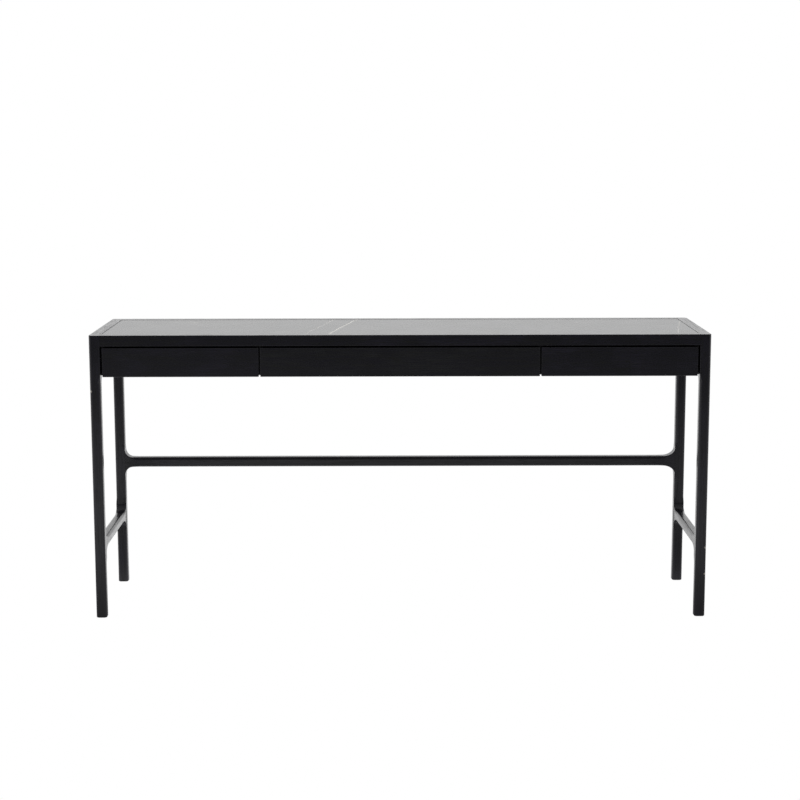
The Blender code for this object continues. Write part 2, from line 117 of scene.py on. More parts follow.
def add_node(tree: Tree, kind: str, inputs: Inputs = (), **settings: object) -> Node:
    """Adds one node with its settings and links.

    Args:
        tree: The node tree to add to.
        kind: Blender's type of node, without the "ShaderNode" in front.
        inputs: What goes into its sockets, in order or by name: a node, whose first
            output in use is linked, a socket, or a constant.
        settings: Attributes of the node, such as its operation; "stops" are a ramp's
            places with their greys.

    Returns:
        The new node.
    """
    node = tree.nodes.new(f"ShaderNode{kind}")
    stops = settings.pop("stops", ())
    for name, value in settings.items():
        setattr(node, name, value)
    in_use = [socket for socket in node.inputs if socket.enabled]
    if isinstance(inputs, dict):
        pairs = [(node.inputs[name], value) for name, value in inputs.items()]
    else:
        pairs = list(zip(in_use, inputs))
    for socket, value in pairs:
        if isinstance(value, bpy.types.Node):
            tree.links.new(next(out for out in value.outputs if out.enabled), socket)
        elif isinstance(value, bpy.types.NodeSocket):
            tree.links.new(value, socket)
        else:
            socket.default_value = value
    for number, (place, grey) in enumerate(stops):
        stop = node.color_ramp.elements[0] if not number else node.color_ramp.elements.new(place)
        stop.position, stop.color = place, (grey, grey, grey, 1.0)
    if stops:
        node.color_ramp.elements.remove(node.color_ramp.elements[len(stops)])
    return node


# ---------------------------------------------------------------------- finishes
@dataclass(frozen=True)
class Finish:
    """What every finish shares: its name, colour and the shader's typical values."""

    name: str = "plain"
    colour: str = "#808080"
    roughness: float = 0.5
    ior: float = 1.5
    metallic: float = 0.0

    def material(self, axis: Axis = Axis.X, board: int = 0) -> bpy.types.Material:
        """The material of a piece, made once for each direction and board.

        Args:
            axis: The direction the piece runs in, for a finish with a grain.
            board: Which board it was cut from.

        Returns:
            The material.
        """
        name = f"{self.name}_{axis.name.lower()}{board}"
        made = bpy.data.materials.get(name)
        if made:
            return made
        made = bpy.data.materials.new(name)
        made.use_nodes = True
        made.diffuse_color = linear(self.colour)
        shader = made.node_tree.nodes["Principled BSDF"]
        shader.inputs["Base Color"].default_value = linear(self.colour)
        shader.inputs["Roughness"].default_value = self.roughness
        shader.inputs["Metallic"].default_value = self.metallic
        if not self.metallic:
            shader.inputs["IOR"].default_value = self.ior
        self.dress(made.node_tree, shader, self.place(made.node_tree, axis, board))
        return made

    def place(self, tree: Tree, axis: Axis, board: int) -> Node:
        """Metres on the piece, turned so that x runs along it.

        Args:
            tree: The node tree to add to.
            axis: The direction the piece runs in.
            board: Which board it was cut from; each starts elsewhere in the log.

        Returns:
            The node that gives the place.
        """
        turn = {Axis.X: (0, 0, 0), Axis.Y: (0, 0, -math.pi / 2), Axis.Z: (0, math.pi / 2, 0)}
        on_piece = add_node(tree, "TexCoord").outputs["Object"]
        start = (0.37 * board, 0.011 * board, 0.017 * board)
        return add_node(tree, "Mapping", (on_piece, start, turn[axis]))

    def cells(self, tree: Tree, place: Node, along: float, across: float) -> Node:
        """A pattern of cells that are drawn out along the grain.

        Args:
            tree: The node tree to add to.
            place: Metres on the piece, with x along the grain.
            along: A cell's length in millimetres.
            across: Its width in millimetres.

        Returns:
            The pattern, from 0 to 1.
        """
        share = (1 / (along * MM), 1 / (across * MM), 1 / (across * MM))
        spread = add_node(tree, "VectorMath", (place, share), operation="MULTIPLY")
        return add_node(tree, "TexNoise", (spread, 1.0, 3.0))

    def blend(self, tree: Tree, share: Node, under: Node | str, over: Node | str) -> Node:
        """Mixes two colours.

        Args:
            tree: The node tree to add to.
            share: How much of the second there is, from 0 to 1.
            under: The first colour, as a node or as "#rrggbb".
            over: The second, likewise.

        Returns:
            The mix.
        """
        pair = [linear(c) if isinstance(c, str) else c for c in (under, over)]
        return add_node(tree, "Mix", (share, *pair), data_type="RGBA")

    def emboss(self, tree: Tree, shader: Node, height: Node, strength: float, deep: float) -> None:
        """Gives the surface a fine relief.

        Args:
            tree: The material's node tree.
            shader: Its principled shader.
            height: The pattern that stands up.
            strength: How much of the relief shows.
            deep: Its depth in millimetres.
        """
        inputs = {"Height": height, "Strength": strength, "Distance": deep * MM}
        bump = add_node(tree, "Bump", inputs)
        tree.links.new(bump.outputs["Normal"], shader.inputs["Normal"])

    def dress(self, tree: Tree, shader: Node, place: Node) -> None:
        """Builds the finish's own nodes.

        Args:
            tree: The material's node tree.
            shader: Its principled shader.
            place: Metres on the piece, with x along it.
        """
        raise NotImplementedError


@dataclass(frozen=True)
class StainedOak(Finish):
    """Oak, planed and brushed, stained black and lacquered thin, its pores left open.

    The eye gets a near-black satin with faint bands of growth along each member, fine
    dark dashes where the pores lie open, and a shinier rounded edge painted slightly paler, partly
    as rubbed wear and partly as a painted highlight.
    """

    name: str = "stained_oak_open_pore"
    colour: str = "#111116"
    violet: str = "#22202d"  # where less of the stain took
    pore: str = "#08080b"
    late: str = "#1c1b23"  # the dense wood between the pores
    rubbed: str = "#302e35"  # the crest of an edge: rubbed wear and a painted highlight
    bare: str = "#bdb7ac"  # the wood in a chip
    roughness: float = 0.26
    ring: float = 7.0  # mm; growth rings are 2 to 3 mm, drawn coarser so that they show
    wander: float = 7.0  # rings that the count strays by from band to band
    early_share: float = 0.6  # of a ring, where the large pores lie
    pore_level: tuple[float, float] = (0.57, 0.70)  # where a pore begins and is full
    cloud_level: tuple[float, float] = (0.41, 0.6)  # where the stain is full and least
    sheen: float = 0.03  # how much the roughness strays to each side
    pore_cell: tuple[float, float] = (22.0, 1.3)  # mm; real pores are 0.3 mm wide
    fibre_cell: tuple[float, float] = (60.0, 3.5)  # mm; bundles of 0.1 mm fibres
    band_cell: tuple[float, float] = (420.0, 22.0)  # mm
    cloud_cell: tuple[float, float] = (110.0, 50.0)  # mm; how unevenly the stain took
    wave: float = 0.08  # mm that the planed face undulates over a cloud
    relief: float = 0.04  # mm that the brushed grain stands up
    relief_strength: float = 0.18
    chips: tuple[Spot, ...] = ()
    chip_size: float = 4.5  # mm

    def dress(self, tree: Tree, shader: Node, place: Node) -> None:
        """Rings, pores, fibres, and rubbed edges with a painted highlight, in colour, roughness
        and relief.
        """
        bands = self.cells(tree, place, *self.band_cell)
        fibres = self.cells(tree, place, *self.fibre_cell)
        dashes = self.cells(tree, place, *self.pore_cell)
        slope = (0.0, 1 / (self.ring * MM), 0.4 / (self.ring * MM))
        count = add_node(tree, "VectorMath", (place, slope), operation="DOT_PRODUCT")
        wander = add_node(tree, "Math", (bands, self.wander, count), operation="MULTIPLY_ADD")
        ring = add_node(tree, "Math", (wander,), operation="FRACT")
        early = add_node(tree, "MapRange", (ring, 0.0, self.early_share, 1.0, 0.0), **SMOOTH)
        open_wood = add_node(tree, "Math", (early, 0.14, dashes), operation="MULTIPLY_ADD")
        pores = add_node(tree, "MapRange", (open_wood, *self.pore_level), **SMOOTH)

        tone = add_node(tree, "Math", (early, -0.22, fibres), operation="MULTIPLY_ADD")
        clouded = add_node(tree, "Math", (bands, 0.5, tone), operation="MULTIPLY_ADD")
        pale = add_node(tree, "MapRange", (clouded, 0.35, 0.95), **SMOOTH)
        clouds = self.cells(tree, place, *self.cloud_cell)
        uneven = add_node(tree, "MapRange", (clouds, *self.cloud_level), **SMOOTH)
        ground = self.blend(tree, uneven, self.colour, self.violet)
        body = self.blend(tree, pale, ground, self.late)
        stained = self.blend(tree, pores, body, self.pore)
        fleck = add_node(tree, "TexNoise", (place, 140.0, 3.0))
        # The crest of each rounded edge is painted paler: partly rubbed wear, partly a painted
        # highlight.
        edge = add_node(tree, "Attribute", attribute_name=EDGE_RUB_AND_HIGHLIGHT).outputs["Fac"]
        rub = add_node(tree, "Math", (edge, fleck), operation="MULTIPLY")
        coloured = self.blend(tree, rub, stained, self.rubbed)
        if self.chips:
            coloured = self.blend(tree, self.chipped(tree), coloured, self.bare)
        tree.links.new(coloured.outputs[2], shader.inputs["Base Color"])

        # Open pores scatter, dense late wood takes more lacquer, and edges are rubbed.
        inputs = (clouded, 0.3, 1.0, self.sheen, -self.sheen)
        sheen = add_node(tree, "MapRange", inputs, **SMOOTH)
        matt = add_node(tree, "Math", (pores, 0.08, sheen), operation="MULTIPLY_ADD")
        worn = add_node(tree, "Math", (rub, -0.05, matt), operation="MULTIPLY_ADD")
        rough = add_node(tree, "Math", (worn, self.roughness), operation="ADD")
        tree.links.new(rough.outputs[0], shader.inputs["Roughness"])

        height = add_node(tree, "Math", (pores, -1.0, fibres), operation="MULTIPLY_ADD")
        wave = add_node(tree, "Bump", {"Height": clouds, "Distance": self.wave * MM})
        relief = {"Strength": self.relief_strength, "Distance": self.relief * MM}
        bump = add_node(tree, "Bump", relief | {"Height": height, "Normal": wave})
        tree.links.new(bump.outputs["Normal"], shader.inputs["Normal"])

    def chipped(self, tree: Tree) -> Node:
        """Small ragged chips in the stain, where an edge was knocked.

        Args:
            tree: The node tree to add to.

        Returns:
            1 in a chip, 0 elsewhere.
        """
        place = add_node(tree, "TexCoord").outputs["Object"]
        ragged = add_node(tree, "TexNoise", (place, 700.0)).outputs["Color"]
        stray = 1.5 * self.chip_size * MM
        inputs = (ragged, (stray,) * 3, place)
        moved = add_node(tree, "VectorMath", inputs, operation="MULTIPLY_ADD")
        size = self.chip_size * MM
        total: Node | float = 0.0
        for spot in self.chips:
            centre = tuple(value + stray / 2 for value in spot)
            away = add_node(tree, "VectorMath", (moved, centre), operation="DISTANCE")
            inputs = (away, 0.5 * size, 0.8 * size, 1.0, 0.0)
            here = add_node(tree, "MapRange", inputs, **SMOOTH)
            total = add_node(tree, "Math", (total, here), operation="MAXIMUM")
        return total


@dataclass(frozen=True)
class Vein:
    """One long vein in the slab, as a slightly bent line in its plane."""

    start: tuple[float, float]
    finish: tuple[float, float]
    width: float  # mm
    strength: float
    bend: float = 4.0  # mm that it strays to each side


@dataclass(frozen=True)
class HonedStone(Finish):
    """Black marble, sawn, calibrated and honed to a silk finish.

    The eye gets a soft, even reflection that turns mid-grey at a low angle, faint
    clouds and hairlines in the stone, and a few sharp white veins across it.
    """

    name: str = "honed_black_marble"
    colour: str = "#2b2c2e"
    cloud: str = "#2f3133"
    fleck: str = "#232426"
    vein: str = "#e6e1d6"
    roughness: float = 0.27
    ior: float = 1.51
    veins: tuple[Vein, ...] = ()
    hairline_cell: float = 230.0  # mm between hairlines
    hairline_width: float = 1.1  # mm; they are 0.3 mm, drawn wider so that they show
    silk: float = 0.006  # how much the roughness strays to each side

    def dress(self, tree: Tree, shader: Node, place: Node) -> None:
        """Clouds, flecks, hairlines and veins, in colour, roughness and relief."""
        clouds = add_node(tree, "TexNoise", (place, 14.0, 5.0))
        flecks = add_node(tree, "TexNoise", (place, 420.0, 2.0))
        share = add_node(tree, "MapRange", (clouds, 0.35, 0.7), **SMOOTH)
        body = self.blend(tree, share, self.colour, self.cloud)
        share = add_node(tree, "MapRange", (flecks, 0.55, 0.75), **SMOOTH)
        body = self.blend(tree, share, body, self.fleck)
        white = self.hairlines(tree, place)
        for vein in self.veins:
            mask = self.vein_mask(tree, place, vein)
            white = add_node(tree, "Math", (white, mask), operation="MAXIMUM")
        veined = self.blend(tree, white, body, self.vein)
        tree.links.new(veined.outputs[2], shader.inputs["Base Color"])
        inputs = (clouds, 0.3, 0.7, self.roughness - self.silk, self.roughness + self.silk)
        silk = add_node(tree, "MapRange", inputs, **SMOOTH)
        rough = add_node(tree, "Math", (white, 0.04, silk), operation="MULTIPLY_ADD")
        tree.links.new(rough.outputs[0], shader.inputs["Roughness"])
        self.emboss(tree, shader, flecks, 0.15, 0.01)

    def hairlines(self, tree: Tree, place: Node) -> Node:
        """A sparse net of fine lines, strong in some parts and gone in others.

        Args:
            tree: The node tree to add to.
            place: Metres on the slab.

        Returns:
            How white the stone is there, from 0 to 1.
        """
        drift = add_node(tree, "TexNoise", (place, 9.0, 4.0)).outputs["Color"]
        inputs = (drift, (0.16, 0.16, 0.16), place)
        moved = add_node(tree, "VectorMath", inputs, operation="MULTIPLY_ADD")
        inputs = (moved, 1 / (self.hairline_cell * MM))
        net = add_node(tree, "TexVoronoi", inputs, feature="DISTANCE_TO_EDGE")
        width = self.hairline_width / self.hairline_cell
        line = add_node(tree, "MapRange", (net, 0.3 * width, width, 1.0, 0.0), **SMOOTH)
        patches = add_node(tree, "TexNoise", (place, 5.0, 3.0))
        strong = add_node(tree, "MapRange", (patches, 0.46, 0.72, 0.0, 0.35), **SMOOTH)
        return add_node(tree, "Math", (line, strong), operation="MULTIPLY")

    def vein_mask(self, tree: Tree, place: Node, vein: Vein) -> Node:
        """One vein: the distance to its line, with stray and uneven width.

        Args:
            tree: The node tree to add to.
            place: Metres on the slab.
            vein: The vein.

        Returns:
            How white the stone is there, from 0 to 1.
        """
        run = Vector(vein.finish) - Vector(vein.start)
        normal = (-run.y / run.length, run.x / run.length, 0.0)
        offset = normal[0] * vein.start[0] + normal[1] * vein.start[1]
        away = add_node(tree, "VectorMath", (place, normal), operation="DOT_PRODUCT")
        stray = add_node(tree, "TexNoise", (place, 16.0, 4.0))
        inputs = (stray, 4 * vein.bend * MM, away)
        bent = add_node(tree, "Math", inputs, operation="MULTIPLY_ADD")
        gap = add_node(tree, "Math", (bent, offset + 2 * vein.bend * MM), operation="SUBTRACT")
        gap = add_node(tree, "Math", (gap,), operation="ABSOLUTE")
        swell = add_node(tree, "TexNoise", (place, 45.0, 3.0))
        inputs = (swell, 0.3, 0.7, 0.3 * vein.width * MM, 0.9 * vein.width * MM)
        half = add_node(tree, "MapRange", inputs, **SMOOTH)
        share = add_node(tree, "Math", (gap, half), operation="DIVIDE")
        return add_node(tree, "MapRange", (share, 0.5, 1.0, vein.strength, 0.0), **SMOOTH)


@dataclass(frozen=True)
class PressedBoard(Finish):
    """Medium-density fibreboard, dyed through and sealed matt.

    The eye gets a flat charcoal with a fine mottle of pressed fibres and no grain.
    """

    name: str = "black_fibreboard"
    colour: str = "#2a2826"
    speck: str = "#1c1b1a"
    roughness: float = 0.72
    fibre: float = 1.6  # mm; fibres are 0.1 mm, drawn as their clumps

    def dress(self, tree: Tree, shader: Node, place: Node) -> None:
        """A fine mottle in colour and relief."""
        clumps = self.cells(tree, place, self.fibre, self.fibre)
        share = add_node(tree, "MapRange", (clumps, 0.4, 0.65), **SMOOTH)
        mottled = self.blend(tree, share, self.colour, self.speck)
        tree.links.new(mottled.outputs[2], shader.inputs["Base Color"])
        self.emboss(tree, shader, clumps, 0.3, 0.05)


@dataclass(frozen=True)
class ZincPlate(Finish):
    """Cold-rolled steel strip, roll-formed and bright zinc plated.

    The eye gets a cool, soft metal shine with faint lines along the rolling direction
    and a slight bloom in patches.
    """

    name: str = "bright_zinc_steel"
    colour: str = "#b4b8bc"
    dull: str = "#989da3"
    roughness: float = 0.32
    metallic: float = 1.0
    line_cell: tuple[float, float] = (90.0, 0.6)  # mm, the rolling lines
    bloom: float = 40.0  # mm

    def dress(self, tree: Tree, shader: Node, place: Node) -> None:
        """Rolling lines and bloom, in colour, roughness and relief."""
        lines = self.cells(tree, place, *self.line_cell)
        bloom = self.cells(tree, place, self.bloom, self.bloom)
        share = add_node(tree, "MapRange", (bloom, 0.4, 0.7), **SMOOTH)
        toned = self.blend(tree, share, self.colour, self.dull)
        tree.links.new(toned.outputs[2], shader.inputs["Base Color"])
        inputs = (lines, 0.14, self.roughness - 0.07)
        rough = add_node(tree, "Math", inputs, operation="MULTIPLY_ADD")
        tree.links.new(rough.outputs[0], shader.inputs["Roughness"])
        self.emboss(tree, shader, lines, 0.2, 0.02)


@dataclass(frozen=True)
class MouldedNylon(Finish):
    """Nylon, injection moulded with a fine spark-eroded texture.

    The eye gets a dense black with a dull, slightly grainy shine.
    """

    name: str = "black_moulded_nylon"
    colour: str = "#161617"
    worn: str = "#232324"
    roughness: float = 0.55
    ior: float = 1.53
    grit: float = 0.8  # mm; the moulded texture is 0.1 mm

    def dress(self, tree: Tree, shader: Node, place: Node) -> None:
        """A fine grit in colour and relief."""
        grit = self.cells(tree, place, self.grit, self.grit)
        share = add_node(tree, "MapRange", (grit, 0.45, 0.7), **SMOOTH)
        toned = self.blend(tree, share, self.colour, self.worn)
        tree.links.new(toned.outputs[2], shader.inputs["Base Color"])
        self.emboss(tree, shader, grit, 0.3, 0.04)


# ------------------------------------------------------------------------ shapes
def rounded(
    low: tuple[float, float], high: tuple[float, float], radii: Sequence[float], steps: int
) -> list[Corner]:
    """A rectangle's outline with rounded corners.

    Args:
        low: Its lowest two coordinates.
        high: Its highest two.
        radii: The radius at its (+,+), (-,+), (-,-) and (+,-) corners.
        steps: Facets in each corner.

    Returns:
        The outline, anticlockwise, with 1 for the crest of a corner and 0 for its ends.
    """
    corners = ((high[0], high[1]), (low[0], high[1]), (low[0], low[1]), (high[0], low[1]))
    signs = ((1, 1), (-1, 1), (-1, -1), (1, -1))
    made = []
    for quarter, (corner, sign, radius) in enumerate(zip(corners, signs, radii)):
        for step in range(steps + 1):
            angle = math.pi / 2 * (quarter + step / steps)
            a = corner[0] - sign[0] * radius + radius * math.cos(angle)
            b = corner[1] - sign[1] * radius + radius * math.sin(angle)
            made.append((a, b, 1 - abs(2 * step / steps - 1)))
    return made


def filleted(corners: Sequence[tuple[float, float, float]], steps: int = 4) -> list[Corner]:
    """A polygon's outline with each corner rounded to its own radius.

    Args:
        corners: (a, b, radius) of each corner, in order round the polygon.
        steps: Facets in each corner.

    Returns:
        The outline, with 1 for the crest of a corner and 0 for its ends.
    """
    made = []
    for i, (a, b, radius) in enumerate(corners):
        here = Vector((a, b))
        before = (Vector(corners[i - 1][:2]) - here).normalized()
        after = (Vector(corners[(i + 1) % len(corners)][:2]) - here).normalized()
        half = before.angle(after) / 2
        middle = -(before + after).normalized()
        centre = here - middle * (radius / math.sin(half))
        aside = (before - after).normalized()
        for step in range(steps + 1):
            turn = (math.pi / 2 - half) * (1 - 2 * step / steps)
            arm = radius * (math.cos(turn) * middle + math.sin(turn) * aside)
            made.append((centre.x + arm.x, centre.y + arm.y, 1 - abs(2 * step / steps - 1)))
    return made


def laid(axis: Axis, along: float, outline: Sequence[Corner]) -> Ring:
    """Stands a section up at a place along a member.

    Args:
        axis: The direction the member runs in.
        along: The section's coordinate in that direction.
        outline: The section, in the other two coordinates.

    Returns:
        The ring of places with their share of rubbed wear and painted highlight.
    """
    ring = []
    for a, b, rub in outline:
        place = [a, b]
        place.insert(axis.value, along)
        ring.append((*place, rub))
    return ring


@dataclass
class Shape:
    """A mesh in the making, in the desk's coordinates."""

    mesh: bmesh.types.BMesh = field(default_factory=bmesh.new)

    def __post_init__(self) -> None:
        """Gives the mesh its layer for rubbed edges with a painted highlight."""
        self.rub = self.mesh.verts.layers.float.new(EDGE_RUB_AND_HIGHLIGHT)

    def loft(self, rings: Sequence[Ring]) -> "Shape":
        """Adds a closed skin through rings that have the same number of points.

        Args:
            rings: The rings, from one end to the other.

        Returns:
            This shape.
        """
        rows = []
        for ring in rings:
            row = [self.mesh.verts.new(place[:3]) for place in ring]
            for vert, place in zip(row, ring):
                vert[self.rub] = place[3]
            rows.append(row)
        count = len(rows[0])
        for lower, upper in zip(rows, rows[1:]):
            for i in range(count):
                j = (i + 1) % count
                self.mesh.faces.new((lower[i], lower[j], upper[j], upper[i]))
        self.mesh.faces.new(list(reversed(rows[0])))
        self.mesh.faces.new(rows[-1])
        return self

    def eased_box(
        self, low: Spot, high: Spot, axis: Axis, radius: float, steps: int = 4
    ) -> "Shape":
        """Adds a board with all its edges rounded.

        Args:
            low: Its lowest corner.
            high: Its highest corner.
            axis: The direction it runs in.
            radius: The radius of its edges, in metres.
            steps: Facets in each edge.

        Returns:
            This shape.
        """
        first, last = low[axis.value], high[axis.value]
        flat_low, flat_high = list(low), list(high)
        del flat_low[axis.value], flat_high[axis.value]
        rings = []
        for step in range(steps + 1):
            angle = math.pi / 2 * step / steps
            inset = radius * (1 - math.sin(angle))
            corner = max(radius - inset, 0.1 * radius)
            outline = rounded(
                [value + inset for value in flat_low],
                [value - inset for value in flat_high],
                [corner] * 4,
                steps,
            )
            crest = 1 - abs(2 * step / steps - 1)
            outline = [(a, b, max(rub, crest)) for a, b, rub in outline]
            rings.append((radius * (1 - math.cos(angle)), outline))
        start = [laid(axis, first + inset, outline) for inset, outline in rings]
        end = [laid(axis, last - inset, outline) for inset, outline in reversed(rings)]
        return self.loft(start + end)

    def swept(self, axis: Axis, first: float, last: float, outline: Sequence[Corner]) -> "Shape":
        """Adds a section drawn straight along an axis.

        Args:
            axis: The direction to draw it in.
            first: Where it starts.
            last: Where it ends.
            outline: The section.

        Returns:
            This shape.
        """
        return self.loft([laid(axis, first, outline), laid(axis, last, outline)])

    def turned(
        self,
        centre: Spot,
        profile: Sequence[tuple[float, float]],
        axis: Axis = Axis.Z,
        sign: int = 1,
        sides: int = 32,
    ) -> "Shape":
        """Adds a solid turned about an axis.

        Args:
            centre: Where its axis starts.
            profile: (radius, place along the axis), from the start.
            axis: The direction of its axis.
            sign: -1 to turn the axis round.
            sides: Facets round it.

        Returns:
            This shape.
        """
        flat = list(centre)
        along = flat.pop(axis.value)
        rings = []
        for radius, place in profile:
            outline = []
            for i in range(sides):
                angle = math.tau * i / sides
                a = flat[0] + radius * math.cos(angle)
                outline.append((a, flat[1] + radius * math.sin(angle), 0.0))
            rings.append(laid(axis, along + sign * place, outline))
        return self.loft(rings)

    def piece(
        self,
        name: str,
        material: bpy.types.Material,
        body: str,
        slot: str,
        stands_for: Sequence[str] = (),
    ) -> bpy.types.Object:
        """Turns the shape into a piece that rides on a body.

        Args:
            name: The piece's name.
            material: Its finish.
            body: The CAD body it moves with.
            slot: The record's material slot; not used.
            stands_for: CAD nodes that it replaces.

        Returns:
            The piece.
        """
        bmesh.ops.recalc_face_normals(self.mesh, faces=self.mesh.faces)
        data = bpy.data.meshes.new(name)
        self.mesh.to_mesh(data)
        self.mesh.free()
        data.materials.append(material)
        data.shade_smooth()
        data.set_sharp_from_angle(angle=CREASE)
        made = bpy.data.objects.new(name, data)
        bpy.context.scene.collection.objects.link(made)
        flats = made.modifiers.new("flat faces stay flat", "WEIGHTED_NORMAL")
        flats.keep_sharp = True
        flats.weight = 100
        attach(made, body)
        if stands_for:
            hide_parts(*stands_for)
        LOG.info("%s on %s, %d faces", name, body, len(data.polygons))
        return made


# -------------------------------------------------------------------------- legs
@dataclass(frozen=True)
class Glide:
    """A moulded glide under one leg: a round pad, and a pin let into the foot."""

    side: Side
    end: End
    ease: float = 0.7 * MM
    dimple: float = 0.25 * MM
    pad: float = 3.0 * MM
    pin: tuple[float, float] = (2.0 * MM, 1.6 * MM)  # its radius at the pad and at its tip

    def build(self) -> None:
        """Makes the glide."""
        node = f"foot_glide_{self.end}_{self.side}"
        low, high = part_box(node)
        centre = ((low.x + high.x) / 2, (low.y + high.y) / 2, low.z)
        radius = (high.x - low.x) / 2
        profile = [(0.3 * radius, self.dimple), (0.42 * radius, 0.0)]
        for step in range(5):
            angle = math.pi / 2 * step / 4
            out, rise = 1 - math.sin(angle), 1 - math.cos(angle)
            profile.append((radius - self.ease * out, self.ease * rise))
        profile += [(radius, self.pad), (self.pin[0], self.pad), (self.pin[1], high.z - low.z)]
        nylon = MouldedNylon().material()
        shape = Shape().turned(centre, profile, sides=48)
        shape.piece(f"{node}_nylon", nylon, "frame", "glide_plastic", [node])


@dataclass
class Legs:
    """Four square legs with soft edges that run out where a member meets them."""

    oak: StainedOak
    round: float = 8.0 * MM
    beside_drawer: float = 2.0 * MM
    crisp: float = 0.4 * MM
    top_ease: float = 0.9 * MM
    foot_round: float = 2.5 * MM
    runout: float = 20.0 * MM
    pitch: float = 2.5 * MM  # between sections where an edge changes
    facets: int = 8  # in each long edge
    chip_heights: tuple[tuple[Side, float], ...] = (
        (Side.LEFT, 0.603),
        (Side.RIGHT, 0.186),
        (Side.RIGHT, 0.116),
    )
    chip_inset: tuple[float, float] = (2.4 * MM, 2.2 * MM)  # from the outer side and front

    def build(self) -> None:
        """Makes the four legs and their glides."""
        for end in End:
            for side in Side:
                self.leg(side, end)
                Glide(side, end).build()

    def zones(self, side: Side, end: End) -> list[tuple[float, float, float, set]]:
        """Where a leg's edges lie beside a neighbour.

        Args:
            side: The leg's side.
            end: The leg's end.

        Returns:
            (low, high, radius there, which edges) of each zone.
        """
        x, y = side.value, end.value
        inner_x, inner_y = {(-x, -1), (-x, 1)}, {(-1, -y), (1, -y)}
        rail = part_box(f"top_rail_{end}")
        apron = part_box(f"side_apron_{side}")
        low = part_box(f"side_stretcher_{side}")
        made = [
            (rail[0].z, rail[1].z, self.crisp, inner_x | inner_y),
            (apron[0].z, rail[0].z, self.crisp, {(-x, -y)}),
            (apron[0].z, rail[0].z, self.beside_drawer, {(-x, y)}),
            (low[0].z, low[1].z, self.crisp, inner_y),
        ]
        if end is End.BACK:
            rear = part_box("rear_stretcher")
            made.append((rear[0].z, rear[1].z, self.crisp, inner_x))
        return made

    def radius(self, z: float, corner: tuple[int, int], zones: list) -> float:
        """The radius of one edge at a height.

        Args:
            z: The height.
            corner: The signs of the edge's x and y from the leg's centre.
            zones: The leg's zones.

        Returns:
            The radius.
        """
        radius = self.round
        for low, high, held, corners in zones:
            if corner in corners:
                away = min(max(low - z, z - high, 0.0) / self.runout, 1.0)
                share = away * away * (3 - 2 * away)
                radius = min(radius, held + (self.round - held) * share)
        return radius

    def leg(self, side: Side, end: End) -> None:
        """Makes one leg.

        Args:
            side: Its side.
            end: Its end.
        """
        node = f"leg_{end}_{side}"
        low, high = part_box(node)
        zones = self.zones(side, end)
        corners = ((1, 1), (-1, 1), (-1, -1), (1, -1))
        rings = []
        for step in range(6):
            angle = math.pi / 2 * step / 5
            inset = self.foot_round * (1 - math.sin(angle))
            outline = rounded(
                (low.x + inset, low.y + inset),
                (high.x - inset, high.y - inset),
                [self.round - inset] * 4,
                self.facets,
            )
            rings.append(laid(Axis.Z, low.z + self.foot_round * (1 - math.cos(angle)), outline))
        heights = {high.z - self.top_ease}
        for start, stop, _, _ in zones:
            for first, last in ((start - self.runout, start), (stop, stop + self.runout)):
                count = math.ceil(self.runout / self.pitch)
                heights |= {first + (last - first) * i / count for i in range(count + 1)}
        for z in sorted(z for z in heights if rings[-1][0][2] < z <= high.z - self.top_ease):
            radii = [self.radius(z, corner, zones) for corner in corners]
            outline = rounded((low.x, low.y), (high.x, high.y), radii, self.facets)
            rings.append(laid(Axis.Z, z, outline))
        radii = [self.radius(high.z, corner, zones) for corner in corners]
        for step in range(1, 5):
            angle = math.pi / 2 * step / 4
            inset = self.top_ease * (1 - math.cos(angle))
            outer = [inset * max(0, sign) for sign in (-side.value, -end.value)]
            inner = [inset * max(0, sign) for sign in (side.value, end.value)]
            outline = rounded(
                (low.x + outer[0], low.y + outer[1]),
                (high.x - inner[0], high.y - inner[1]),
                radii,
                self.facets,
            )
            z = high.z - self.top_ease * (1 - math.sin(angle))
            rings.append(laid(Axis.Z, z, outline))
        oak = self.oak.material(Axis.Z)
        name = f"{node}_oak"
        Shape().loft(rings).piece(name, oak, "frame", "black_oak", [node])


